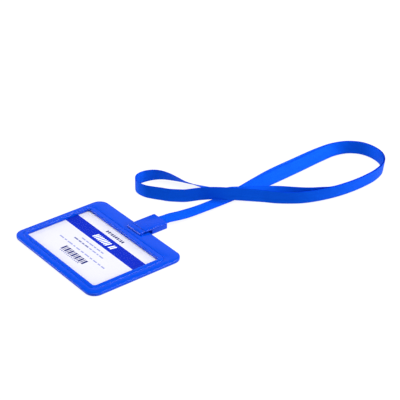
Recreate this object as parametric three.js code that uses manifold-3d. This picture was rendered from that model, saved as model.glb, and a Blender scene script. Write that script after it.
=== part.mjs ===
// Lanyard badge holder: a rigid card holder, the clip on its top border, and the strap that the clip grips.
// Millimetres, +Z up, everything lying flat on z = 0. X runs along the card's width, +Y towards the clip.
// The origin is under the middle of the holder and clip taken together.
import * as THREE from 'three';
import { mergeVertices } from 'three/addons/utils/BufferGeometryUtils.js';
import Module from 'manifold-3d';

const wasm = await Module();
wasm.setup();

// ---------------------------------------------------------------- driving dimensions
const holder = { halfWidth: 50.7, bottom: -47.2, top: 31.2, cornerRadius: 8 };
const opening = { left: -44.3, right: 41.9, bottom: -39.3, top: 15.3, cornerRadius: 2 };
const crease = { halfWidth: 46, bottom: -42.6, top: 19.1, cornerRadius: 5 };
const creaseGroove = { halfWidth: 0.55, halfFloor: 0.12, depth: 0.32 };
const heights = {
  pocketFloor: 0.7, split: 1.05, bezelUnderside: 1.1, sheetSeat: 1.3,
  wallTop: 2.6, slopeTop: 3.35, rim: 3.5,
};
const lipRadius = 0.5;
const backEdge = { inset: 1.2, midInset: 0.35, midHeight: 0.4 };
const sheet = { lap: 2.6, sideGap: 0.3, gapBelow: 0.03, gapAbove: 0.05 };
const pocket = { width: 88.6, height: 57, cornerRadius: 3 };
const thumbNotch = { radius: 9, outside: 3.6 };
const card = { width: 88, height: 56.4, thickness: 0.35, cornerRadius: 2.5, gapBelow: 0.03 };
const clip = { centreX: 1.3, halfWidth: 8, rear: 47.2 };
const slot = { halfWidth: 8.4, front: 22.4, back: 26.6 };
const foot = { bottom: 0.05, top: 0.95 };
const riser = { front: 22.9, back: 26.1 };
const block = { front: 33.8, top: 3.65 };
const channel = { halfWidth: 5.4, front: 38.6, floor: 1.6 };
const gripRib = { count: 3, first: 2, pitch: 2.4, width: 0.5, height: 0.1 };
const flap = { bottom: 3.75, top: 4.9, front: 27.6 };
const heel = { front: 22.75, frontRadius: 1.7, back: 27.3, backRadius: 0.45, neck: 3.1 };
const edgeBreak = 0.3;
const sideChamfer = 0.35;
const stud = { y: 36.2, radius: 1.4, holeRadius: 1.7, depth: 1.7, holeDepth: 2.1 };
const strap = { width: 10, thickness: 0.5, spacing: 1 };
const ribbonSection = { chamfer: 0.15, crown: 0.03 };
const relief = { halfWidth: 9, front: 26.1, top: 1.5 };
// Cutters run this far past the faces that they cut through.
const beyond = 1;

// ---------------------------------------------------------------- materials
const material = (color, roughness, extra = {}) => (
  new THREE.MeshStandardMaterial({ color, roughness, ...extra }));
const materials = {
  shell: material(0x0a4be8, 0.35),
  clip: material(0x0b4df0, 0.38),
  strap: material(0x0a52f0, 0.55),
  paper: material(0xe6e4fb, 0.7),
  clear: material(0xeef4ff, 0.08, { transparent: true, opacity: 0.3 }),
};

// ---------------------------------------------------------------- closed solids
// A rounded rectangle as a ring of points, anticlockwise; grow moves every side outwards.
function roundedRect({ left, right, bottom, top, cornerRadius }, grow = 0, cornerSteps = 10) {
  const radius = Math.max(cornerRadius + grow, 0.3);
  const corners = [
    [right + grow - radius, top + grow - radius, 0],
    [left - grow + radius, top + grow - radius, Math.PI / 2],
    [left - grow + radius, bottom - grow + radius, Math.PI],
    [right + grow - radius, bottom - grow + radius, 1.5 * Math.PI],
  ];
  return corners.flatMap(([x, y, start]) => Array.from({ length: cornerSteps + 1 }, (_, i) => {
    const angle = start + (i / cornerSteps) * Math.PI / 2;
    return [x + radius * Math.cos(angle), y + radius * Math.sin(angle)];
  }));
}

// Rings of equal length, each at one height, joined side to side. With caps, the first ring is the bottom
// and the last the top. Without, the last ring joins the first and the middle stays open.
function ringSolid(rings, capped) {
  const count = rings[0].points.length;
  const positions = rings.flatMap(({ points, z }) => points.flatMap(([x, y]) => [x, y, z]));
  const faces = [];
  const bands = capped ? rings.length - 1 : rings.length;
  for (let band = 0; band < bands; band += 1) {
    const low = band * count;
    const high = ((band + 1) % rings.length) * count;
    for (let i = 0; i < count; i += 1) {
      const next = (i + 1) % count;
      faces.push(low + i, low + next, high + next, low + i, high + next, high + i);
    }
  }
  if (capped) {
    const last = (rings.length - 1) * count;
    for (let i = 1; i < count - 1; i += 1) {
      faces.push(0, i + 1, i, last, last + i, last + i + 1);
    }
  }
  const geometry = new THREE.BufferGeometry();
  geometry.setAttribute('position', new THREE.Float32BufferAttribute(positions, 3));
  geometry.setIndex(faces);
  return geometry;
}

const slab = (outline, low, high, cornerSteps) => {
  const points = roundedRect(outline, 0, cornerSteps);
  return ringSolid([{ points, z: low }, { points, z: high }], true);
};

const box = (x0, x1, y0, y1, z0, z1) => new THREE.BoxGeometry(x1 - x0, y1 - y0, z1 - z0)
  .translate((x0 + x1) / 2, (y0 + y1) / 2, (z0 + z1) / 2);

const centredOutline = (x, y, width, height, cornerRadius) => ({
  left: x - width / 2, right: x + width / 2, bottom: y - height / 2, top: y + height / 2, cornerRadius,
});

// A profile drawn in the Y-Z plane and run along X between x0 and x1.
function alongX(profile, x0, x1) {
  const settings = { depth: x1 - x0, bevelEnabled: false, curveSegments: 8 };
  const geometry = new THREE.ExtrudeGeometry(profile, settings);
  const axes = new THREE.Matrix4().makeBasis(
    new THREE.Vector3(0, 1, 0), new THREE.Vector3(0, 0, 1), new THREE.Vector3(1, 0, 0));
  return geometry.applyMatrix4(axes).translate(x0, 0, 0);
}

const pegZ = (radius, x, y, z0, z1) => new THREE.CylinderGeometry(radius, radius, z1 - z0, 24)
  .rotateX(Math.PI / 2).translate(x, y, (z0 + z1) / 2);

// ---------------------------------------------------------------- joining and cutting
function toSolid(geometry) {
  const bare = geometry.clone();
  bare.deleteAttribute('normal');
  bare.deleteAttribute('uv');
  const merged = mergeVertices(bare, 1e-4);
  return new wasm.Manifold(new wasm.Mesh({
    numProp: 3,
    vertProperties: new Float32Array(merged.attributes.position.array),
    triVerts: new Uint32Array(merged.index.array),
  }));
}

function toGeometry(solid) {
  const mesh = solid.getMesh();
  const geometry = new THREE.BufferGeometry();
  geometry.setAttribute('position', new THREE.Float32BufferAttribute(mesh.vertProperties, 3));
  geometry.setIndex(Array.from(mesh.triVerts));
  return geometry;
}

function combine(base, { add = [], cut = [] }) {
  let solid = toSolid(base);
  for (const piece of add) solid = solid.add(toSolid(piece));
  for (const piece of cut) solid = solid.subtract(toSolid(piece));
  return toGeometry(solid);
}

function named(name, geometry, surface) {
  const mesh = new THREE.Mesh(geometry, surface);
  mesh.name = name;
  return mesh;
}

// ---------------------------------------------------------------- holder
const outline = {
  left: -holder.halfWidth, right: holder.halfWidth,
  bottom: holder.bottom, top: holder.top, cornerRadius: holder.cornerRadius,
};
const creaseLine = { ...crease, left: -crease.halfWidth, right: crease.halfWidth };
const openingCentre = [(opening.left + opening.right) / 2, (opening.bottom + opening.top) / 2];
const slotHole = box(clip.centreX - slot.halfWidth, clip.centreX + slot.halfWidth, slot.front, slot.back,
  -beyond, heights.rim + beyond);
// Under the bar behind the slot the holder is hollowed, so that it lies flat over the clip's foot.
const footRelief = box(clip.centreX - relief.halfWidth, clip.centreX + relief.halfWidth,
  relief.front, holder.top + beyond, -beyond, relief.top);

const ring = (line, grow, z) => ({ points: roundedRect(line, grow), z });

// A quarter round from a wall up to the height z; side is -1 for an outer wall and 1 for an opening's wall.
function lip(line, z, side) {
  const steps = 3;
  return Array.from({ length: steps + 1 }, (_, i) => {
    const angle = (i / steps) * Math.PI / 2;
    return ring(line, side * lipRadius * (1 - Math.cos(angle)), z - lipRadius * (1 - Math.sin(angle)));
  });
}

// Front frame: side wall, rounded edge, gentle slope up to the crease, flat rim, wall down to the window.
function makeBezel() {
  const h = heights;
  const body = ringSolid([
    ring(outline, 0, h.bezelUnderside),
    ...lip(outline, h.wallTop, -1),
    ring(creaseLine, creaseGroove.halfWidth, h.slopeTop),
    ring(creaseLine, creaseGroove.halfFloor, h.slopeTop - creaseGroove.depth),
    ring(creaseLine, -creaseGroove.halfFloor, h.slopeTop - creaseGroove.depth),
    ring(creaseLine, -creaseGroove.halfWidth, h.slopeTop),
    ...lip(opening, h.rim, 1).reverse(),
    ring(opening, 0, h.sheetSeat),
    ring(opening, sheet.lap, h.sheetSeat),
    ring(opening, sheet.lap, h.bezelUnderside),
  ], false);
  return combine(body, { cut: [slotHole, footRelief] });
}

// Rear shell: a tray with the card pocket, which is open at the left side as the mouth for the card.
function makeBack() {
  const body = ringSolid([
    ring(outline, -backEdge.inset, 0),
    ring(outline, -backEdge.midInset, backEdge.midHeight),
    ring(outline, 0, heights.split),
  ], true);
  const [x, y] = openingCentre;
  const pocketLine = centredOutline(x, y, pocket.width, pocket.height, pocket.cornerRadius);
  const mouth = box(-holder.halfWidth - beyond, x, y - pocket.height / 2, y + pocket.height / 2,
    heights.pocketFloor, heights.split + beyond);
  const notch = pegZ(thumbNotch.radius, -holder.halfWidth - thumbNotch.outside, y, -beyond, heights.split);
  return combine(body, {
    cut: [slab(pocketLine, heights.pocketFloor, heights.split + beyond), mouth, notch, slotHole, footRelief],
  });
}

function makeWindow() {
  const grow = sheet.lap - sheet.sideGap;
  return ringSolid([
    ring(opening, grow, heights.bezelUnderside + sheet.gapBelow),
    ring(opening, grow, heights.sheetSeat - sheet.gapAbove),
  ], true);
}

function makeCard() {
  const [x, y] = openingCentre;
  const low = heights.pocketFloor + card.gapBelow;
  return slab(centredOutline(x, y, card.width, card.height, card.cornerRadius), low, low + card.thickness, 5);
}

// ---------------------------------------------------------------- clip
const clipLeft = clip.centreX - clip.halfWidth;
const clipRight = clip.centreX + clip.halfWidth;

// Side view of the clip's fixed half: foot under the bar, riser through the slot with its rounded heel
// above the holder, and behind the bar the block that the strap enters.
function baseProfile() {
  const side = new THREE.Shape();
  const { front, frontRadius, back, backRadius, neck } = heel;
  side.moveTo(riser.front, foot.bottom + edgeBreak);
  side.lineTo(riser.front + edgeBreak, foot.bottom);
  side.lineTo(clip.rear - edgeBreak, foot.bottom);
  side.lineTo(clip.rear, foot.bottom + edgeBreak);
  side.lineTo(clip.rear, block.top);
  side.lineTo(block.front, block.top);
  side.lineTo(block.front, foot.top);
  side.lineTo(riser.back, foot.top);
  side.lineTo(riser.back, flap.bottom);
  side.lineTo(back, flap.bottom);
  side.absarc(back - backRadius, flap.top - backRadius, backRadius, 0, Math.PI / 2, false);
  side.absarc(front + frontRadius, flap.top - frontRadius, frontRadius, Math.PI / 2, Math.PI, false);
  side.lineTo(riser.front, neck);
  side.closePath();
  return side;
}

// Long square bars, turned on edge, that take the corners off the clip's two upper side edges.
const sideChamfers = (y0, y1) => [clipLeft, clipRight].map((x) => {
  const side = sideChamfer * Math.SQRT2;
  return new THREE.BoxGeometry(side, y1 - y0, side).rotateY(Math.PI / 4)
    .translate(x, (y0 + y1) / 2, flap.top);
});

function makeClipBase() {
  const ribs = Array.from({ length: gripRib.count }, (_, i) => {
    const front = channel.front + gripRib.first + gripRib.pitch * i;
    return box(clip.centreX - channel.halfWidth, clip.centreX + channel.halfWidth,
      front, front + gripRib.width, channel.floor - gripRib.height, channel.floor + gripRib.height);
  });
  const strapChannel = box(clip.centreX - channel.halfWidth, clip.centreX + channel.halfWidth,
    channel.front, clip.rear + beyond, channel.floor, block.top + beyond);
  const studHole = pegZ(stud.holeRadius, clip.centreX, stud.y,
    flap.bottom - stud.holeDepth, block.top + beyond);
  const cut = combine(alongX(baseProfile(), clipLeft, clipRight), {
    cut: [strapChannel, studHole, ...sideChamfers(heel.front - beyond, heel.back + beyond)],
  });
  return combine(cut, { add: ribs });
}

// The flap folds over the bar and the block; its stud snaps into the hole in the block.
function makeClipFlap() {
  const side = new THREE.Shape();
  side.moveTo(flap.front, flap.bottom);
  side.lineTo(clip.rear, flap.bottom);
  side.lineTo(clip.rear, flap.top - edgeBreak);
  side.lineTo(clip.rear - edgeBreak, flap.top);
  side.absarc(flap.front + heel.backRadius, flap.top - heel.backRadius, heel.backRadius,
    Math.PI / 2, Math.PI, false);
  side.closePath();
  const plate = alongX(side, clipLeft, clipRight);
  const studPeg = pegZ(stud.radius, clip.centreX, stud.y, flap.bottom - stud.depth,
    flap.bottom + edgeBreak);
  return combine(plate, { add: [studPeg], cut: sideChamfers(flap.front - beyond, clip.rear + beyond) });
}

// ---------------------------------------------------------------- lanyard strap
// The strap is one length folded in half, so two strands leave the clip together. Each way-point is
// [x, y, z of the middle of the width, lean]. Lean is the angle from lying flat to standing on edge, in
// degrees, measured towards the left of travel; past 180 the strand has rolled onto its other face.
// On the shared run the points are the pair's middle, and the last number fans the strands sideways.
const sharedRun = [
  [1.3, 39.2, 2.6, 0, 0], [1.3, 47.2, 2.6, 1, 0.1], [2.1, 55, 2.6, 5, 0.8], [3.7, 66, 2, 5, 0.9],
  [4.7, 84, 1.6, 3, 0.6], [4.9, 110, 1.8, 6, 0.4], [5.2, 121, 2.8, 20, 0.3],
  [5.4, 135, 4.1, 34, 0.6], [5, 151, 5.1, 48, 0.9], [3.6, 176, 5.3, 52, 0.9], [2, 202, 5.3, 56, 0.6],
  [2.4, 216.5, 5.2, 62, 0.2], [6.6, 227.5, 5.3, 72, 0], [14.6, 235, 5.3, 78, 0], [25.6, 237.6, 5.3, 80, 0],
  [37, 235.4, 5.3, 81, 0], [46.6, 227.5, 5.3, 83, 0], [52, 214.5, 5.3, 85, 0], [53.8, 199, 5.3, 85, 0],
  [53.3, 183, 5.3, 86, 0], [51, 169.5, 5.3, 88, 0],
];
// The inner strand falls back from the outer one, rolls over half a turn and crosses above the shared run.
const upperEnd = [
  [47.4, 164, 5.3, 92], [42.6, 155.5, 5.3, 101], [36, 147.9, 5.2, 110],
  [25.1, 137, 5.1, 130], [18.8, 128.5, 5.4, 143], [13.3, 121.3, 5.6, 153], [7.7, 116.2, 5.4, 162],
  [0.2, 110.8, 4.6, 175], [-6.1, 108, 3.2, 186], [-12, 104.8, 2.6, 196], [-18.2, 102, 2.6, 205],
  [-23.6, 99, 2.9, 211], [-30, 95.3, 3.4, 219], [-36, 92.3, 4.3, 230], [-42, 89.3, 4.9, 242],
  [-48, 85.5, 5.2, 252], [-52.2, 80.5, 5.3, 262], [-54.6, 74, 5.3, 270], [-54.9, 69.6, 5.3, 270],
];
// The outer strand stays on edge, rides over the shared run and turns back at the small loop.
const lowerEnd = [
  [46.9, 154.8, 5.3, 90], [42.9, 146.5, 5.3, 90], [37.6, 139, 5.3, 90], [31.4, 132, 5.4, 93],
  [25.1, 125.4, 6, 96], [19.6, 118, 7, 98], [10.6, 106.7, 8, 99], [0.6, 95.6, 8, 100],
  [-5.8, 89, 6.8, 101], [-12.4, 80.1, 5.4, 102], [-16.7, 75.3, 5.3, 102], [-20.9, 71.1, 5.3, 102],
  [-26, 67.6, 5.3, 102], [-30.8, 64.1, 5.3, 100], [-37.2, 60.5, 5.3, 96], [-45.2, 59.6, 5.3, 92],
  [-50.9, 62.2, 5.3, 90], [-54, 66, 5.3, 90], [-54.9, 69.3, 5.3, 90],
];

// A strand's middle line, with the strap's width direction turned by the lean at every step.
class StrapPath extends THREE.Curve {
  constructor(points) {
    super();
    this.arcLengthDivisions = 800;
    this.middle = new THREE.CatmullRomCurve3(points.map(([x, y, z]) => new THREE.Vector3(x, y, z)));
    this.leans = new THREE.SplineCurve(points.map(([, , , lean], i) => new THREE.Vector2(i, lean)));
  }

  getPoint(t, target = new THREE.Vector3()) {
    return this.middle.getPoint(t, target);
  }

  // Width and face directions at u, as a share of the length.
  sectionAt(u) {
    const tangent = this.getTangentAt(u);
    const lean = THREE.MathUtils.degToRad(this.leans.getPoint(this.getUtoTmapping(u)).y);
    const left = new THREE.Vector3(-tangent.y, tangent.x, 0).normalize();
    const width = left.multiplyScalar(Math.cos(lean)).add(new THREE.Vector3(0, 0, Math.sin(lean)));
    width.addScaledVector(tangent, -width.dot(tangent)).normalize();
    const face = new THREE.Vector3().crossVectors(tangent, width);
    return { tangent, width, face };
  }

  computeFrenetFrames(segments) {
    const sections = Array.from({ length: segments + 1 }, (_, i) => this.sectionAt(i / segments));
    return {
      tangents: sections.map(({ tangent }) => tangent),
      normals: sections.map(({ width }) => width),
      binormals: sections.map(({ face }) => face),
    };
  }
}

// The shared run, moved by side half spacings across the faces and fanned along the width.
function strandRun(side) {
  const pair = new StrapPath(sharedRun);
  const lengths = pair.getLengths(pair.arcLengthDivisions);
  return sharedRun.map(([x, y, z, lean, fan], i) => {
    const t = i / (sharedRun.length - 1);
    const u = lengths[Math.round(t * pair.arcLengthDivisions)] / lengths[pair.arcLengthDivisions];
    const { width, face } = pair.sectionAt(u);
    const point = new THREE.Vector3(x, y, z)
      .addScaledVector(face, side * strap.spacing / 2).addScaledVector(width, -side * fan);
    return [point.x, point.y, point.z, lean];
  });
}

// The strap's section: a flat band with chamfered edges, very slightly thicker along its middle.
function strapSection() {
  const halfWidth = strap.width / 2;
  const halfThickness = strap.thickness / 2;
  const { chamfer, crown } = ribbonSection;
  const quarter = [
    [halfWidth, halfThickness - chamfer], [halfWidth - chamfer, halfThickness],
    [halfWidth / 3, halfThickness + crown],
  ];
  const upperHalf = [...quarter, ...quarter.map(([x, y]) => [-x, y]).reverse()];
  const lowerHalf = upperHalf.map(([x, y]) => [-x, -y]);
  return new THREE.Shape([...upperHalf, ...lowerHalf].map(([x, y]) => new THREE.Vector2(x, y)));
}

function makeStrand(side, ending) {
  const path = new StrapPath([...strandRun(side), ...ending]);
  return new THREE.ExtrudeGeometry(strapSection(), { steps: 100, extrudePath: path, bevelEnabled: false });
}

// ---------------------------------------------------------------- assembly
const badge = new THREE.Group();
badge.add(
  named('holder_bezel', makeBezel(), materials.shell),
  named('holder_back', makeBack(), materials.shell),
  named('window_sheet', makeWindow(), materials.clear),
  named('insert_card', makeCard(), materials.paper),
  named('clip_base', makeClipBase(), materials.clip),
  named('clip_flap', makeClipFlap(), materials.clip),
  named('lanyard_strand_upper', makeStrand(1, upperEnd), materials.strap),
  named('lanyard_strand_lower', makeStrand(-1, lowerEnd), materials.strap),
);

export default badge;
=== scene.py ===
"""Lanyard badge holder: a rigid card holder, its fold-over clip and a flat satin strap.

The scene is in metres, in the part's own frame. Shapes are worked out in millimetres, most of them from the
CAD nodes' boxes: shells with rounded edges, a printed card, a clear window, a clip and a woven strap.
"""
import math

import bmesh
import bpy
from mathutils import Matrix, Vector


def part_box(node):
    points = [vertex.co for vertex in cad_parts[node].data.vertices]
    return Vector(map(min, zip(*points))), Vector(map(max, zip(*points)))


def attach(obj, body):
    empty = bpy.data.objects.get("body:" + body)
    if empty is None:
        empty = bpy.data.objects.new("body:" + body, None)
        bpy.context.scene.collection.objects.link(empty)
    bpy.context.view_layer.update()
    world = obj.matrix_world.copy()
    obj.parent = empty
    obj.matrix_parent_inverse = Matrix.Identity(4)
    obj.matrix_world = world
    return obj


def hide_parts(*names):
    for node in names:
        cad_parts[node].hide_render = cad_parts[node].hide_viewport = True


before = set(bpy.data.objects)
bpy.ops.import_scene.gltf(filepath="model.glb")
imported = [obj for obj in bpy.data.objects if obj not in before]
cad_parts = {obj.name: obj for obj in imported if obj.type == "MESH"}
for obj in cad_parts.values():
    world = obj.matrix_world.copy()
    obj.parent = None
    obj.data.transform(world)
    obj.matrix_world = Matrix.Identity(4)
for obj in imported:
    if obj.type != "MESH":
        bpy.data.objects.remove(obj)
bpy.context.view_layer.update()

MM = 0.001
scene = bpy.context.scene

# ------------------------------------------------------------------ camera
CAMERA_PLACE = (0.7195, -0.4780, 0.5493)
CAMERA_TARGET = (-0.0058, 0.0891, 0.00145)
CAMERA_LENS = 128.9


def add_camera():
    camera_data = bpy.data.cameras.new("camera")
    camera_data.lens = CAMERA_LENS
    camera_data.sensor_width = 36
    camera = bpy.data.objects.new("camera", camera_data)
    camera.location = CAMERA_PLACE
    aim = Vector(CAMERA_TARGET) - Vector(CAMERA_PLACE)
    camera.rotation_euler = aim.to_track_quat("-Z", "Y").to_euler()
    scene.collection.objects.link(camera)
    scene.camera = camera


# ------------------------------------------------------------------ node material helpers
def new_material(name):
    material = bpy.data.materials.new(name)
    material.use_nodes = True
    tree = material.node_tree
    return material, tree, tree.nodes["Principled BSDF"]


def add_node(tree, kind, inputs=None, **settings):
    """A node with its settings, and its inputs set by value or linked from a socket."""
    node = tree.nodes.new(kind)
    for key, value in settings.items():
        setattr(node, key, value)
    for key, value in (inputs or {}).items():
        if isinstance(value, bpy.types.NodeSocket):
            tree.links.new(value, node.inputs[key])
        else:
            node.inputs[key].default_value = value
    return node


def srgb(red, green, blue):
    """A colour given as 0 to 255 display values, as the linear colour that shaders take."""
    def linear(value):
        value /= 255
        return value / 12.92 if value <= 0.04045 else ((value + 0.055) / 1.055) ** 2.4
    return (linear(red), linear(green), linear(blue), 1.0)


def object_position(tree):
    return add_node(tree, "ShaderNodeTexCoord").outputs["Object"]


# ------------------------------------------------------------------ materials
def moulded_plastic(name, colour, lighter, roughness):
    """Satin moulded plastic: slow variation in the colour, fine grain and faint scuffs in the gloss."""
    material, tree, shader = new_material(name)
    place = object_position(tree)
    flow = add_node(tree, "ShaderNodeTexNoise", {"Vector": place, "Scale": 28.0, "Detail": 3.0})
    tint = add_node(tree, "ShaderNodeMix", {
        "Factor": flow.outputs["Fac"], 6: colour, 7: lighter}, data_type="RGBA")
    tree.links.new(tint.outputs[2], shader.inputs["Base Color"])
    grain = add_node(tree, "ShaderNodeTexNoise", {"Vector": place, "Scale": 5200.0, "Detail": 2.0})
    wear = add_node(tree, "ShaderNodeTexNoise", {"Vector": place, "Scale": 260.0, "Detail": 6.0})
    gloss = add_node(tree, "ShaderNodeMapRange", {
        "Value": wear.outputs["Fac"], "From Min": 0.35, "From Max": 0.75,
        "To Min": roughness, "To Max": roughness + 0.1})
    tree.links.new(gloss.outputs["Result"], shader.inputs["Roughness"])
    bump = add_node(tree, "ShaderNodeBump", {
        "Height": grain.outputs["Fac"], "Strength": 0.12, "Distance": 0.00004})
    tree.links.new(bump.outputs["Normal"], shader.inputs["Normal"])
    shader.inputs["IOR"].default_value = 1.5
    shader.inputs["Specular IOR Level"].default_value = 0.2
    return material


def satin_strap():
    """Flat polyester ribbon: fine ribs across the width, yarn twist, painted shade darkening the weave's
    hollows, and a denser selvedge at both edges.
    The UV map runs in metres: U along the strap and V across it from its middle."""
    material, tree, shader = new_material("satin_strap")
    across_limit = STRAP_WIDTH / 2
    uv = add_node(tree, "ShaderNodeUVMap", uv_map="strap").outputs["UV"]
    parts = add_node(tree, "ShaderNodeSeparateXYZ", {"Vector": uv})
    along, across = parts.outputs["X"], parts.outputs["Y"]

    def wave(value, pitch, shift=0.0):
        angle = add_node(tree, "ShaderNodeMath", {0: value, 1: 2 * math.pi / pitch, 2: shift},
                         operation="MULTIPLY_ADD")
        sine = add_node(tree, "ShaderNodeMath", {0: angle.outputs[0]}, operation="SINE")
        return add_node(tree, "ShaderNodeMath", {0: sine.outputs[0], 1: 0.5, 2: 0.5},
                        operation="MULTIPLY_ADD").outputs[0]

    ribs = wave(along, RIB_PITCH)
    yarns = wave(across, YARN_PITCH)
    yarn_share = 0.35
    weave = add_node(tree, "ShaderNodeMath", {0: yarns, 1: yarn_share, 2: ribs},
                     operation="MULTIPLY_ADD").outputs[0]
    edge = add_node(tree, "ShaderNodeMath", {0: across}, operation="ABSOLUTE").outputs[0]
    selvedge = add_node(tree, "ShaderNodeMapRange", {
        "Value": edge, "From Min": across_limit - SELVEDGE, "From Max": across_limit - SELVEDGE / 3,
        "To Min": 0.0, "To Max": 1.0}).outputs["Result"]
    stretched = add_node(tree, "ShaderNodeMapping", {"Vector": uv, "Scale": (60.0, 900.0, 1.0)})
    fibre = add_node(tree, "ShaderNodeTexNoise", {
        "Vector": stretched.outputs[0], "Scale": 1.0, "Detail": 3.0})
    shade = add_node(tree, "ShaderNodeMix", {
        "Factor": fibre.outputs["Fac"], 6: (0.001, 0.092, 0.72, 1.0), 7: (0.003, 0.126, 0.86, 1.0)},
        data_type="RGBA")
    # Painted shade: the hollows between the weave's ribs take a darker blue than the ribs.
    shaded_hollows = add_node(tree, "ShaderNodeMix", {
        "Factor": weave, 6: srgb(0, 44, 176), 7: shade.outputs[2]}, data_type="RGBA")
    edged = add_node(tree, "ShaderNodeMix", {
        "Factor": selvedge, 6: shaded_hollows.outputs[2], 7: srgb(0, 62, 214)}, data_type="RGBA")
    tree.links.new(edged.outputs[2], shader.inputs["Base Color"])
    bump = add_node(tree, "ShaderNodeBump", {"Height": weave, "Strength": 0.5, "Distance": 0.00006})
    tree.links.new(bump.outputs["Normal"], shader.inputs["Normal"])
    lengthwise = add_node(tree, "ShaderNodeTangent", direction_type="UV_MAP", uv_map="strap")
    tree.links.new(lengthwise.outputs["Tangent"], shader.inputs["Tangent"])
    shader.inputs["Anisotropic"].default_value = 0.8
    shader.inputs["Anisotropic Rotation"].default_value = 0.25
    shader.inputs["Roughness"].default_value = 0.5
    shader.inputs["Metallic"].default_value = 0.25
    shader.inputs["Specular IOR Level"].default_value = 0.02
    return material


def card_stock():
    """White card with a faint mottle, as uncoated board has."""
    material, tree, shader = new_material("card_stock")
    place = object_position(tree)
    mottle = add_node(tree, "ShaderNodeTexNoise", {"Vector": place, "Scale": 900.0, "Detail": 4.0})
    tint = add_node(tree, "ShaderNodeMix", {
        "Factor": mottle.outputs["Fac"], 6: (0.65, 0.65, 0.72, 1.0), 7: (0.69, 0.69, 0.75, 1.0)},
        data_type="RGBA")
    tree.links.new(tint.outputs[2], shader.inputs["Base Color"])
    bump = add_node(tree, "ShaderNodeBump", {
        "Height": mottle.outputs["Fac"], "Strength": 0.1, "Distance": 0.00002})
    tree.links.new(bump.outputs["Normal"], shader.inputs["Normal"])
    shader.inputs["Roughness"].default_value = 0.7
    shader.inputs["Specular IOR Level"].default_value = 0.08
    return material


def printing_ink(name, colour):
    """Printed ink on the card, a little uneven in density."""
    material, tree, shader = new_material(name)
    place = object_position(tree)
    density = add_node(tree, "ShaderNodeTexNoise", {"Vector": place, "Scale": 1500.0, "Detail": 3.0})
    paler = tuple(0.99 * channel + 0.01 for channel in colour[:3]) + (1.0,)
    tint = add_node(tree, "ShaderNodeMix", {
        "Factor": density.outputs["Fac"], 6: colour, 7: paler}, data_type="RGBA")
    tree.links.new(tint.outputs[2], shader.inputs["Base Color"])
    shader.inputs["Roughness"].default_value = 0.6
    shader.inputs["Specular IOR Level"].default_value = 0.03
    return material


def clear_window():
    """Clear rigid film with a glare-reducing coat: see-through, a weak mirror with faint handling marks."""
    material, tree, shader = new_material("clear_window")
    tree.nodes.remove(shader)
    place = object_position(tree)
    marks = add_node(tree, "ShaderNodeTexNoise", {"Vector": place, "Scale": 120.0, "Detail": 8.0})
    rough = add_node(tree, "ShaderNodeMapRange", {
        "Value": marks.outputs["Fac"], "From Min": 0.4, "From Max": 0.7, "To Min": 0.04, "To Max": 0.12})
    clear = add_node(tree, "ShaderNodeBsdfTransparent", {"Color": (0.99, 0.99, 1.0, 1.0)})
    gloss = add_node(tree, "ShaderNodeBsdfGlossy", {
        "Color": (1.0, 1.0, 1.0, 1.0), "Roughness": rough.outputs["Result"]})
    facing = add_node(tree, "ShaderNodeFresnel", {"IOR": 1.45})
    inside = add_node(tree, "ShaderNodeNewGeometry").outputs["Backfacing"]
    outside = add_node(tree, "ShaderNodeMath", {0: 1.0, 1: inside}, operation="SUBTRACT")
    mirrored = add_node(tree, "ShaderNodeMath", {0: facing.outputs[0], 1: outside.outputs[0]},
                        operation="MULTIPLY")
    coat_share = 0.08
    coated = add_node(tree, "ShaderNodeMath", {0: mirrored.outputs[0], 1: coat_share}, operation="MULTIPLY")
    share = add_node(tree, "ShaderNodeMixShader", {
        0: coated.outputs[0], 1: clear.outputs[0], 2: gloss.outputs[0]})
    tree.links.new(share.outputs[0], tree.nodes["Material Output"].inputs["Surface"])
    return material


# ------------------------------------------------------------------ sizes in millimetres
def millimetres(node):
    """(lowest corner, highest corner) of a CAD node, in millimetres."""
    return tuple(tuple(value / MM for value in corner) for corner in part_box(node))


def outline_box(low, high, corner, grow=0.0):
    """A rounded rectangle seen from above, from the corners of a node's box."""
    return dict(left=low[0] - grow, right=high[0] + grow, bottom=low[1] - grow, top=high[1] + grow,
                corner=corner)


BEZEL_LOW, BEZEL_HIGH = millimetres("holder_bezel")
BACK_TOP = millimetres("holder_back")[1][2]
FILM_LOW, FILM_HIGH = millimetres("window_sheet")
CARD_LOW, CARD_HIGH = millimetres("insert_card")
CLIP_LOW, CLIP_HIGH = millimetres("clip_base")
FLAP_LOW, FLAP_HIGH = millimetres("clip_flap")

FILM_LAP = 2.3
SEAT_LAP = 2.6
HOLDER = outline_box(BEZEL_LOW, BEZEL_HIGH, 8.0)
OPENING = outline_box(FILM_LOW, FILM_HIGH, 2.0, -FILM_LAP)
CARD = outline_box(CARD_LOW, CARD_HIGH, 2.5)
POCKET = outline_box(CARD_LOW, CARD_HIGH, 3.0, 0.3)
CREASE = dict(left=-46.0, right=46.0, bottom=-42.6, top=19.1, corner=5.0)
CREASE_HALF = 0.55
CREASE_DEPTH = 0.32
LIP_RADIUS = 0.5
POCKET_FLOOR = 0.7
SHEET_SEAT = 1.3
WALL_TOP = 2.6
SLOPE_TOP = 3.35
RIM = BEZEL_HIGH[2]
THUMB_NOTCH = dict(radius=9.0, outside=3.6)

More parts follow.
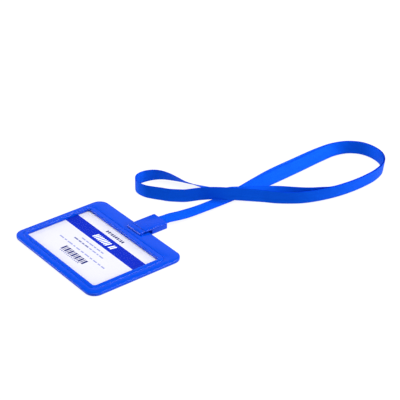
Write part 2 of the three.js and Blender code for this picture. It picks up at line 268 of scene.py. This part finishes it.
# The clip, seen from the side along X, with y and z: the riser goes up through the slot from the foot, the
# block with its channel lies behind the bar, and the flap closes down on it.
CLIP_CENTRE = (CLIP_LOW[0] + CLIP_HIGH[0]) / 2
CLIP_REAR = CLIP_HIGH[1]
CLIP_TOP = CLIP_HIGH[2]
FLAP_BOTTOM = 3.75
BLOCK_TOP = 3.65
RISER = dict(front=22.9, back=26.1)
FOOT_TOP = 0.95
BLOCK_FRONT = 33.8
CHANNEL = dict(half=5.4, front=38.6, floor=1.6)
NECK = 3.1
HEEL_BACK = 27.3
HEEL_RADIUS = 1.7
SHOULDER_RADIUS = 0.45
SIDE_ROUND = 0.4
EDGE_ROUND = 0.15
STUD = dict(y=36.2, radius=1.4, hole=1.7, hole_depth=2.1)
SLOT = dict(half=8.4, front=22.4, back=26.6)
RELIEF = dict(half=9.0, front=26.1, top=1.5)
BEYOND = 1.0

STRAP_WIDTH = 10 * MM
STRAP_THICKNESS = 0.5 * MM
STRAND_SPACING = 1.0
RIB_PITCH = 0.55 * MM
YARN_PITCH = 0.9 * MM
SELVEDGE = 0.45 * MM
CORNER_STEPS = 20


# ------------------------------------------------------------------ mesh building, in millimetres
def make_piece(name, vertices, faces, material, body, node=None, smooth=True):
    """A mesh object from millimetre vertices, riding on a body, and standing for any CAD node named."""
    mesh = bpy.data.meshes.new(name)
    mesh.from_pydata([(x * MM, y * MM, z * MM) for x, y, z in vertices], [], faces)
    mesh.materials.append(material)
    mesh.update()
    piece = bpy.data.objects.new(name, mesh)
    scene.collection.objects.link(piece)
    if smooth:
        mesh.shade_smooth()
        mesh.set_sharp_from_angle(angle=math.radians(35))
    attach(piece, body)
    if node:
        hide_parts(node)
    return piece


def rounded_ring(box, grow=0.0, steps=CORNER_STEPS):
    """The points of a rounded rectangle, anticlockwise; grow moves every side outwards."""
    radius = max(box["corner"] + grow, 0.3)
    left, right = box["left"] - grow + radius, box["right"] + grow - radius
    bottom, top = box["bottom"] - grow + radius, box["top"] + grow - radius
    points = []
    for x, y, start in ((right, top, 0), (left, top, 90), (left, bottom, 180), (right, bottom, 270)):
        for step in range(steps + 1):
            angle = math.radians(start + 90 * step / steps)
            points.append((x + radius * math.cos(angle), y + radius * math.sin(angle)))
    return points


def ring_mesh(rings, capped):
    """Vertices and faces for rings of equal length, (points, z), joined side to side."""
    count = len(rings[0][0])
    vertices = [(x, y, z) for points, z in rings for x, y in points]
    faces = []
    for band in range(len(rings) - 1 if capped else len(rings)):
        low, high = band * count, (band + 1) % len(rings) * count
        for i in range(count):
            after = (i + 1) % count
            faces.append((low + i, low + after, high + after, high + i))
    if capped:
        faces.append(tuple(reversed(range(count))))
        faces.append(tuple(range((len(rings) - 1) * count, len(rings) * count)))
    return vertices, faces


def cut_box(piece, low, high):
    """Cuts a box, given in millimetres, out of a piece for good."""
    cutter_mesh = bpy.data.meshes.new("cutter")
    box = bmesh.new()
    bmesh.ops.create_cube(box, size=1)
    for vertex in box.verts:
        for axis in range(3):
            middle, size = (low[axis] + high[axis]) / 2, high[axis] - low[axis]
            vertex.co[axis] = (middle + vertex.co[axis] * size) * MM
    box.to_mesh(cutter_mesh)
    box.free()
    cut_with(piece, cutter_mesh)


def cut_peg(piece, x, y, radius, low, high):
    """Cuts an upright round hole, in millimetres, out of a piece for good."""
    cutter_mesh = bpy.data.meshes.new("cutter")
    peg = bmesh.new()
    bmesh.ops.create_cone(peg, cap_ends=True, segments=64, radius1=radius * MM, radius2=radius * MM,
                          depth=(high - low) * MM)
    bmesh.ops.translate(peg, verts=peg.verts, vec=(x * MM, y * MM, (low + high) / 2 * MM))
    peg.to_mesh(cutter_mesh)
    peg.free()
    cut_with(piece, cutter_mesh)


def cut_with(piece, cutter_mesh, operation="DIFFERENCE"):
    cutter = bpy.data.objects.new("cutter", cutter_mesh)
    scene.collection.objects.link(cutter)
    modifier = piece.modifiers.new("cut", "BOOLEAN")
    modifier.object = cutter
    modifier.operation = operation
    modifier.solver = "EXACT"
    apply_modifiers(piece)
    bpy.data.objects.remove(cutter)
    bpy.data.meshes.remove(cutter_mesh)


def apply_modifiers(piece):
    """Replaces the piece's mesh by what its modifiers make of it."""
    graph = bpy.context.evaluated_depsgraph_get()
    finished = bpy.data.meshes.new_from_object(piece.evaluated_get(graph))
    old = piece.data
    piece.modifiers.clear()
    piece.data = finished
    finished.name = piece.name
    bpy.data.meshes.remove(old)


def round_edges(piece, width, segments=3, angle=40):
    """A small round on every edge sharper than the angle, as moulding leaves."""
    modifier = piece.modifiers.new("round", "BEVEL")
    modifier.width = width * MM
    modifier.segments = segments
    modifier.limit_method = "ANGLE"
    modifier.angle_limit = math.radians(angle)
    modifier.harden_normals = False
    modifier.miter_outer = "MITER_ARC"
    apply_modifiers(piece)


def smooth_by_angle(piece, degrees=35):
    piece.data.shade_smooth()
    piece.data.set_sharp_from_angle(angle=math.radians(degrees))


# ------------------------------------------------------------------ lanyard strap
# The same way-points as the CAD's strands, in millimetres: x, y, z of the middle of the width, and lean in
# degrees from lying flat. On the shared run the last number fans the two strands sideways. Only the last row
# of each ending differs: here the two strands come close enough to look joined at the small loop.
SHARED_RUN = [
    (1.3, 39.2, 2.6, 0, 0), (1.3, 47.2, 2.6, 1, 0.1), (2.1, 55, 2.6, 5, 0.8), (3.7, 66, 2, 5, 0.9),
    (4.7, 84, 1.6, 3, 0.6), (4.9, 110, 1.8, 6, 0.4), (5.2, 121, 2.8, 20, 0.3),
    (5.4, 135, 4.1, 34, 0.6), (5, 151, 5.1, 48, 0.9), (3.6, 176, 5.3, 52, 0.9), (2, 202, 5.3, 56, 0.6),
    (2.4, 216.5, 5.2, 62, 0.2), (6.6, 227.5, 5.3, 72, 0), (14.6, 235, 5.3, 78, 0), (25.6, 237.6, 5.3, 80, 0),
    (37, 235.4, 5.3, 81, 0), (46.6, 227.5, 5.3, 83, 0), (52, 214.5, 5.3, 85, 0), (53.8, 199, 5.3, 85, 0),
    (53.3, 183, 5.3, 86, 0), (51, 169.5, 5.3, 88, 0),
]
UPPER_END = [
    (47.4, 164, 5.3, 92), (42.6, 155.5, 5.3, 101), (36, 147.9, 5.2, 110),
    (25.1, 137, 5.1, 130), (18.8, 128.5, 5.4, 143), (13.3, 121.3, 5.6, 153), (7.7, 116.2, 5.4, 162),
    (0.2, 110.8, 4.6, 175), (-6.1, 108, 3.2, 186), (-12, 104.8, 2.6, 196), (-18.2, 102, 2.6, 205),
    (-23.6, 99, 2.9, 211), (-30, 95.3, 3.4, 219), (-36, 92.3, 4.3, 230), (-42, 89.3, 4.9, 242),
    (-48, 85.5, 5.2, 252), (-52.2, 80.5, 5.3, 262), (-54.6, 74, 5.3, 270), (-54.9, 69.47, 5.3, 270),
]
LOWER_END = [
    (46.9, 154.8, 5.3, 90), (42.9, 146.5, 5.3, 90), (37.6, 139, 5.3, 90), (31.4, 132, 5.4, 93),
    (25.1, 125.4, 6, 96), (19.6, 118, 7, 98), (10.6, 106.7, 8, 99), (0.6, 95.6, 8, 100),
    (-5.8, 89, 6.8, 101), (-12.4, 80.1, 5.4, 102), (-16.7, 75.3, 5.3, 102), (-20.9, 71.1, 5.3, 102),
    (-26, 67.6, 5.3, 102), (-30.8, 64.1, 5.3, 100), (-37.2, 60.5, 5.3, 96), (-45.2, 59.6, 5.3, 92),
    (-50.9, 62.2, 5.3, 90), (-54, 66, 5.3, 90), (-54.9, 69.43, 5.3, 90),
]
STEPS_PER_SPAN = 24


def curve_through(points):
    """Points and leans along a centripetal curve through the way-points, STEPS_PER_SPAN to each span."""
    places = [Vector(point[:3]) for point in points]
    leans = [point[3] for point in points]
    places = [2 * places[0] - places[1], *places, 2 * places[-1] - places[-2]]
    leans = [leans[0], *leans, leans[-1]]
    route = []
    for span in range(1, len(places) - 2):
        before, start, end, after = places[span - 1:span + 3]
        gap_before = (start - before).length ** 0.5
        gap = (end - start).length ** 0.5
        gap_after = (after - end).length ** 0.5
        leave = (start - before) / gap_before - (end - before) / (gap_before + gap) + (end - start) / gap
        arrive = (end - start) / gap - (after - start) / (gap + gap_after) + (after - end) / gap_after
        leave, arrive = leave * gap, arrive * gap
        last = span == len(places) - 3
        for step in range(STEPS_PER_SPAN + last):
            t = step / STEPS_PER_SPAN
            place = (start + leave * t + (3 * (end - start) - 2 * leave - arrive) * t ** 2
                     + (2 * (start - end) + leave + arrive) * t ** 3)
            lean = uniform_spline(leans[span - 1:span + 3], t)
            route.append((place, lean))
    return route


def uniform_spline(values, t):
    before, start, end, after = values
    leave, arrive = (end - before) / 2, (after - start) / 2
    return (start + leave * t + (3 * (end - start) - 2 * leave - arrive) * t ** 2
            + (2 * (start - end) + leave + arrive) * t ** 3)


def directions(route, index):
    """Travel, width and face directions at one point of a route."""
    ahead = route[min(index + 1, len(route) - 1)][0]
    behind = route[max(index - 1, 0)][0]
    travel = (ahead - behind).normalized()
    lean = math.radians(route[index][1])
    left = Vector((-travel.y, travel.x, 0)).normalized()
    width = left * math.cos(lean) + Vector((0, 0, math.sin(lean)))
    width = (width - travel * width.dot(travel)).normalized()
    return travel, width, travel.cross(width)


def strand_points(side, ending):
    """One strand's way-points: the shared run moved to its side of the pair, then its own ending."""
    pair = curve_through(SHARED_RUN)
    points = []
    for index, (x, y, z, lean, fan) in enumerate(SHARED_RUN):
        _, width, face = directions(pair, index * STEPS_PER_SPAN)
        place = Vector((x, y, z)) + face * (side * STRAND_SPACING / 2) - width * (side * fan)
        points.append((*place, lean))
    return points + ending


def section_outline():
    """The strap's section as (across, up), anticlockwise: slightly crowned faces and round selvedges."""
    half_width, half_thickness = STRAP_WIDTH / MM / 2, STRAP_THICKNESS / MM / 2
    bead = half_thickness * 0.94
    outline = []
    for step in range(7):
        angle = math.radians(-90 + 30 * step)
        outline.append((half_width - bead + bead * math.cos(angle), bead * math.sin(angle)))
    for share in (0.75, 0.45, 0.15, -0.15, -0.45, -0.75):
        outline.append((half_width * share, half_thickness * (1.04 - 0.06 * abs(share))))
    return outline + [(-x, -y) for x, y in outline]


def make_strand(name, node, side, ending, material):
    route = curve_through(strand_points(side, ending))
    outline = section_outline()
    count = len(outline)
    vertices, faces, travelled = [], [], [0.0]
    for index, (place, _) in enumerate(route):
        _, width, face = directions(route, index)
        vertices += [place + width * across + face * up for across, up in outline]
        if index:
            travelled.append(travelled[-1] + (place - route[index - 1][0]).length)
    for ring in range(len(route) - 1):
        low, high = ring * count, (ring + 1) * count
        for i in range(count):
            after = (i + 1) % count
            faces.append((low + i, low + after, high + after, high + i))
    faces.append(tuple(reversed(range(count))))
    faces.append(tuple(range((len(route) - 1) * count, len(route) * count)))
    strand = make_piece(name, vertices, faces, material, "clip", node)
    uv = strand.data.uv_layers.new(name="strap")
    for loop in strand.data.loops:
        ring, i = divmod(loop.vertex_index, count)
        uv.data[loop.index].uv = (travelled[ring] * MM, outline[i][0] * MM)
    print(f"{name}: {travelled[-1]:.1f} mm long")
    return strand


# ------------------------------------------------------------------ holder
def lip(box, z, side, steps=6):
    """Rings of a quarter round up to the height z; side is -1 on an outer wall, 1 on an opening's."""
    rings = []
    for step in range(steps + 1):
        angle = math.radians(90 * step / steps)
        inset, drop = LIP_RADIUS * (1 - math.cos(angle)), LIP_RADIUS * (1 - math.sin(angle))
        rings.append((box, side * inset, z - drop))
    return rings


def crease_groove(steps=10):
    """Rings of the shallow rounded groove between the slope and the rim."""
    rings = []
    for step in range(steps + 1):
        across = 1 - 2 * step / steps
        depth = CREASE_DEPTH * (1 + math.cos(math.pi * across)) / 2
        rings.append((CREASE, across * CREASE_HALF, SLOPE_TOP - depth))
    return rings


def make_bezel(material):
    """Front frame: rounded outer edge, gentle slope, crease line, flat rim, wall and seat for the window."""
    profile = [
        (HOLDER, 0, BEZEL_LOW[2]), *lip(HOLDER, WALL_TOP, -1), *crease_groove(),
        *reversed(lip(OPENING, RIM, 1)), (OPENING, 0, SHEET_SEAT), (OPENING, SEAT_LAP, SHEET_SEAT),
        (OPENING, SEAT_LAP, BEZEL_LOW[2]),
    ]
    vertices, faces = ring_mesh([(rounded_ring(box, grow), z) for box, grow, z in profile], False)
    bezel = make_piece("bezel_shell", vertices, faces, material, "holder", "holder_bezel")
    cut_slot(bezel)
    smooth_by_angle(bezel)
    return bezel


def make_back(material):
    """Rear shell: rounded lower edge, and the card pocket open at the left side, with a thumb notch."""
    rounding, steps, split = 1.3, 8, BACK_TOP
    profile = []
    for step in range(steps + 1):
        angle = math.radians(90 * step / steps)
        profile.append((HOLDER, -rounding * (1 - math.sin(angle)), split * (1 - math.cos(angle))))
    vertices, faces = ring_mesh([(rounded_ring(box, grow), z) for box, grow, z in profile], True)
    back = make_piece("back_shell", vertices, faces, material, "holder", "holder_back")
    cut_box(back, (HOLDER["left"] - BEYOND, POCKET["bottom"], POCKET_FLOOR),
            (POCKET["right"], POCKET["top"], split + BEYOND))
    cut_peg(back, HOLDER["left"] - THUMB_NOTCH["outside"], (POCKET["bottom"] + POCKET["top"]) / 2,
            THUMB_NOTCH["radius"], -BEYOND, POCKET_FLOOR + BEYOND)
    cut_slot(back)
    smooth_by_angle(back)
    return back


def cut_slot(shell):
    """The slot for the clip, and the hollow under the bar behind it where the clip's foot lies."""
    cut_box(shell, (CLIP_CENTRE - SLOT["half"], SLOT["front"], -BEYOND),
            (CLIP_CENTRE + SLOT["half"], SLOT["back"], RIM + BEYOND))
    cut_box(shell, (CLIP_CENTRE - RELIEF["half"], RELIEF["front"], -BEYOND),
            (CLIP_CENTRE + RELIEF["half"], HOLDER["top"] + BEYOND, RELIEF["top"]))


def make_window(material):
    profile = [(OPENING, FILM_LAP, FILM_LOW[2]), (OPENING, FILM_LAP, FILM_HIGH[2])]
    vertices, faces = ring_mesh([(rounded_ring(box, grow), z) for box, grow, z in profile], True)
    return make_piece("window_film", vertices, faces, material, "holder", "window_sheet")


# ------------------------------------------------------------------ card and its print
CARD_TOP = CARD_HIGH[2]
CARD_EDGE = 0.04
INK = 0.006
INK_GAP = 0.002
PRINT_CENTRE = -3.0


def make_card(material):
    profile = [(CARD, -CARD_EDGE, CARD_LOW[2]), (CARD, 0, CARD_LOW[2] + CARD_EDGE),
               (CARD, 0, CARD_TOP - CARD_EDGE), (CARD, -CARD_EDGE, CARD_TOP)]
    vertices, faces = ring_mesh([(rounded_ring(box, grow), z) for box, grow, z in profile], True)
    return make_piece("card", vertices, faces, material, "card", "insert_card")


def print_patches(name, patches, material, level=1):
    """Flat printed patches, each a list of (x, y) corners, as thin closed slabs of ink on the card."""
    low = CARD_TOP + INK_GAP + (level - 1) * INK
    vertices, faces = [], []
    for corners in patches:
        start, count = len(vertices), len(corners)
        vertices += [(x, y, low) for x, y in corners] + [(x, y, low + INK) for x, y in corners]
        faces.append(tuple(start + i for i in reversed(range(count))))
        faces.append(tuple(start + count + i for i in range(count)))
        for i in range(count):
            after = (i + 1) % count
            faces.append((start + i, start + after, start + count + after, start + count + i))
    return make_piece(name, vertices, faces, material, "card", smooth=False)


def block(x, y, width, height, slant=0.0):
    """The corners of an upright block, its top moved along by slant."""
    return [(x, y), (x + width, y), (x + width + slant, y + height), (x + slant, y + height)]


def word_row(x, y, height, widths, gap):
    """Plain blocks in a row, standing for the words of a line without being letters."""
    row = []
    for width in widths:
        row.append(block(x, y, width, height))
        x += width + gap
    return row


def row_width(widths, gap):
    return sum(widths) + gap * (len(widths) - 1)


def centred_row(centre, y, height, widths, gap):
    """A row of plain blocks with its middle at centre."""
    return word_row(centre - row_width(widths, gap) / 2, y, height, widths, gap)


def title_marks(centre, y, height):
    """Slanted pairs of strokes, five groups with a wider space before the last, in place of a title."""
    stroke, inner_gap, group_gap, space, slant = 1.3, 0.8, 1.0, 1.8, 1.2
    group = 2 * stroke + inner_gap
    x = centre - (5 * group + 3 * group_gap + group_gap + space) / 2
    marks = []
    for number in range(5):
        if number == 4:
            x += space
        marks.append(block(x, y, stroke, height, slant))
        marks.append(block(x + stroke + inner_gap, y, stroke, height, slant))
        x += group + group_gap
    return marks


def make_print(dark, blue, white, grey, pale):
    """Generic print: a colour band with title strokes, a block row, three lines of blocks and some bars."""
    band = dict(low=-5.4, high=5.8, inset=0.3)
    left, right = CARD["left"] + band["inset"], CARD["right"] - band["inset"]
    print_patches("print_band", [[(left, band["low"]), (right, band["low"]), (right, band["high"]),
                                  (left, band["high"])]], blue)
    number_widths = [1.5, 1.5, 0.6, 1.5, 1.5, 1.5, 1.5, 0.6, 1.5, 1.5]
    print_patches("print_number_blocks", centred_row(PRINT_CENTRE, 8.4, 2.5, number_widths, 0.8), dark)
    print_patches("print_title_blocks", title_marks(PRINT_CENTRE, -2.6, 5.2), white, level=2)
    first_line = [4.4, 3.2, 4.8, 2.6, 4.2, 3.0]
    print_patches("print_small_line_1", centred_row(-3.4, -10.2, 1.1, first_line, 0.9), pale)
    strong_words, faint_words = [4.6, 3.4, 2.6, 4.2], [3.0, 4.4, 2.2, 4.6]
    print_patches("print_small_line_2", word_row(-20.7, -14.1, 1.3, strong_words, 0.9), grey)
    print_patches("print_small_line_3", word_row(-2.0, -14.0, 1.1, faint_words, 0.9), pale)
    long_line = [4.8, 2.6, 6.0, 2.2, 4.6, 3.4, 5.2, 2.8, 4.2, 3.0, 3.8]
    print_patches("print_long_line", centred_row(-1.6, -20.6, 1.1, long_line, 1.3), pale)
    bar_widths = [1.7, 0.7, 1.9, 0.8, 1.7, 0.7, 1.8, 0.8, 1.8, 0.7, 1.7, 0.8, 1.8]
    print_patches("print_bars", centred_row(-1.5, -29.2, 5.4, bar_widths, 0.85), dark)
    foot_marks = [0.9] * 12
    print_patches("print_bar_foot", centred_row(-2.5, -30.9, 1.2, foot_marks, 1.1), grey)


# ------------------------------------------------------------------ clip
def extrude_along_x(name, outline, x0, x1, material, body, node):
    """A side view, anticlockwise as (y, z) in millimetres, run from x0 to x1."""
    count = len(outline)
    vertices = [(x, y, z) for x in (x0, x1) for y, z in outline]
    faces = [tuple(reversed(range(count))), tuple(range(count, 2 * count))]
    for i in range(count):
        after = (i + 1) % count
        faces.append((i, after, count + after, count + i))
    return make_piece(name, vertices, faces, material, body, node)


def arc_points(y, z, radius, start, end, steps=10):
    """Points on an arc in the side view, between two angles in degrees."""
    points = []
    for step in range(steps + 1):
        angle = math.radians(start + (end - start) * step / steps)
        points.append((y + radius * math.cos(angle), z + radius * math.sin(angle)))
    return points


def round_side_edges(piece, radius, chosen):
    """Rounds those edges of a side view's two flat faces whose middle, (y, z) in millimetres, is chosen."""
    mesh = bmesh.new()
    mesh.from_mesh(piece.data)
    edges = []
    for edge in mesh.edges:
        first, second = (corner.co / MM for corner in edge.verts)
        if abs(first.x - second.x) < 0.001 and chosen((first.y + second.y) / 2, (first.z + second.z) / 2):
            edges.append(edge)
    bmesh.ops.bevel(mesh, geom=edges, offset=radius * MM, segments=5, profile=0.5, affect="EDGES")
    mesh.to_mesh(piece.data)
    mesh.free()


def make_clip_base(material):
    """Fixed half: foot under the bar, riser and rounded heel, and the block that the strap enters."""
    front, foot_low = RISER["front"], CLIP_LOW[2]
    outline = [
        (front, foot_low), (CLIP_REAR, foot_low), (CLIP_REAR, BLOCK_TOP), (BLOCK_FRONT, BLOCK_TOP),
        (BLOCK_FRONT, FOOT_TOP), (RISER["back"], FOOT_TOP), (RISER["back"], FLAP_BOTTOM),
        (HEEL_BACK, FLAP_BOTTOM),
        *arc_points(HEEL_BACK - SHOULDER_RADIUS, CLIP_TOP - SHOULDER_RADIUS, SHOULDER_RADIUS, 0, 90),
        *arc_points(CLIP_LOW[1] + HEEL_RADIUS, CLIP_TOP - HEEL_RADIUS, HEEL_RADIUS, 90, 180), (front, NECK)]
    base = extrude_along_x("clip_body", outline, CLIP_LOW[0], CLIP_HIGH[0], material, "clip", "clip_base")
    round_side_edges(base, SIDE_ROUND, lambda y, z: z > BLOCK_TOP + 0.05 or y > CLIP_REAR - 0.1)
    cut_box(base, (CLIP_CENTRE - CHANNEL["half"], CHANNEL["front"], CHANNEL["floor"]),
            (CLIP_CENTRE + CHANNEL["half"], CLIP_REAR + BEYOND, BLOCK_TOP + BEYOND))
    cut_peg(base, CLIP_CENTRE, STUD["y"], STUD["hole"], FLAP_BOTTOM - STUD["hole_depth"],
            BLOCK_TOP + BEYOND)
    round_edges(base, EDGE_ROUND)
    smooth_by_angle(base)
    return base


def make_clip_flap(material):
    """Folding half: a plate with rounded edges, and the stud that snaps into the block."""
    front = FLAP_LOW[1]
    outline = [(front, FLAP_BOTTOM), (CLIP_REAR, FLAP_BOTTOM), (CLIP_REAR, CLIP_TOP),
               *arc_points(front + SHOULDER_RADIUS, CLIP_TOP - SHOULDER_RADIUS, SHOULDER_RADIUS, 90, 180)]
    flap = extrude_along_x("clip_flap_plate", outline, FLAP_LOW[0], FLAP_HIGH[0], material, "flap",
                           "clip_flap")
    round_side_edges(flap, SIDE_ROUND, lambda y, z: z > FLAP_BOTTOM + 0.1)
    stud_low, stud_high, taper = FLAP_LOW[2], FLAP_BOTTOM + 0.5, 0.1
    peg_mesh = bpy.data.meshes.new("stud")
    peg = bmesh.new()
    bmesh.ops.create_cone(peg, cap_ends=True, segments=48, radius1=(STUD["radius"] - taper) * MM,
                          radius2=STUD["radius"] * MM, depth=(stud_high - stud_low) * MM)
    bmesh.ops.translate(peg, verts=peg.verts,
                        vec=(CLIP_CENTRE * MM, STUD["y"] * MM, (stud_low + stud_high) / 2 * MM))
    peg.to_mesh(peg_mesh)
    peg.free()
    cut_with(flap, peg_mesh, "UNION")
    round_edges(flap, EDGE_ROUND)
    smooth_by_angle(flap)
    return flap


# ------------------------------------------------------------------ floor and light
def make_floor():
    """A plain white studio floor that glows evenly, so shadows on it stay faint."""
    material, tree, shader = new_material("studio_floor")
    shader.inputs["Base Color"].default_value = (0.12, 0.12, 0.12, 1.0)
    shader.inputs["Roughness"].default_value = 0.9
    shader.inputs["Specular IOR Level"].default_value = 0.1
    shader.inputs["Emission Color"].default_value = (1.0, 1.0, 1.0, 1.0)
    shader.inputs["Emission Strength"].default_value = 0.9
    size, level = 6.0, -0.0002
    corners = [(-size, -size, level), (size, -size, level), (size, size, level), (-size, size, level)]
    mesh = bpy.data.meshes.new("studio_floor")
    mesh.from_pydata(corners, [], [(0, 1, 2, 3)])
    mesh.materials.append(material)
    floor = bpy.data.objects.new("studio_floor", mesh)
    scene.collection.objects.link(floor)


def add_area_light(name, place, target, size, power, colour=(1.0, 1.0, 1.0)):
    light_data = bpy.data.lights.new(name, "AREA")
    light_data.shape = "RECTANGLE"
    light_data.size, light_data.size_y = size
    light_data.energy = power
    light_data.color = colour
    light = bpy.data.objects.new(name, light_data)
    light.location = place
    light.rotation_euler = (Vector(target) - Vector(place)).to_track_quat("-Z", "Y").to_euler()
    scene.collection.objects.link(light)


def light_scene():
    world = bpy.data.worlds.new("studio")
    world.use_nodes = True
    background = world.node_tree.nodes["Background"]
    background.inputs["Color"].default_value = (1.0, 1.0, 1.0, 1.0)
    background.inputs["Strength"].default_value = 0.06
    scene.world = world
    middle = (0.0, 0.1, 0.0)
    add_area_light("soft_top", (0.0, 0.2, 1.9), middle, (1.4, 1.4), 30.0)
    add_area_light("soft_back", (-1.35, 1.0, 0.85), middle, (1.6, 0.6), 1.5)
    add_area_light("side_left", (-1.05, -0.8, 0.42), middle, (1.1, 0.6), 15.0)
    add_area_light("front_fill", (1.3, -1.0, 0.7), middle, (1.4, 0.9), 6.0)
    add_area_light("strip_high", (-0.05, 1.12, 1.75), middle, (0.9, 0.45), 12.0)
    add_area_light("side_right", (1.0, 1.05, 0.4), middle, (1.0, 0.6), 20.0)
    scene.view_settings.view_transform = "Standard"


# ------------------------------------------------------------------ making
add_camera()
strap = satin_strap()
make_strand("strap_upper", "lanyard_strand_upper", 1, UPPER_END, strap)
make_strand("strap_lower", "lanyard_strand_lower", -1, LOWER_END, strap)
shell_plastic = moulded_plastic("shell_plastic", (0.0, 0.056, 0.60, 1.0), (0.0, 0.062, 0.64, 1.0),
                                roughness=0.15)
clip_plastic = moulded_plastic("clip_plastic", (0.0, 0.052, 0.58, 1.0), (0.0, 0.057, 0.62, 1.0),
                               roughness=0.2)
make_bezel(shell_plastic)
make_back(shell_plastic)
make_window(clear_window())
make_card(card_stock())
make_print(printing_ink("ink_dark", srgb(20, 32, 104)), printing_ink("ink_blue", srgb(0, 36, 176)),
           printing_ink("ink_white", srgb(240, 243, 255)), printing_ink("ink_grey", srgb(104, 110, 160)),
           printing_ink("ink_pale", srgb(140, 146, 196)))
make_clip_base(clip_plastic)
make_clip_flap(clip_plastic)
make_floor()
light_scene()
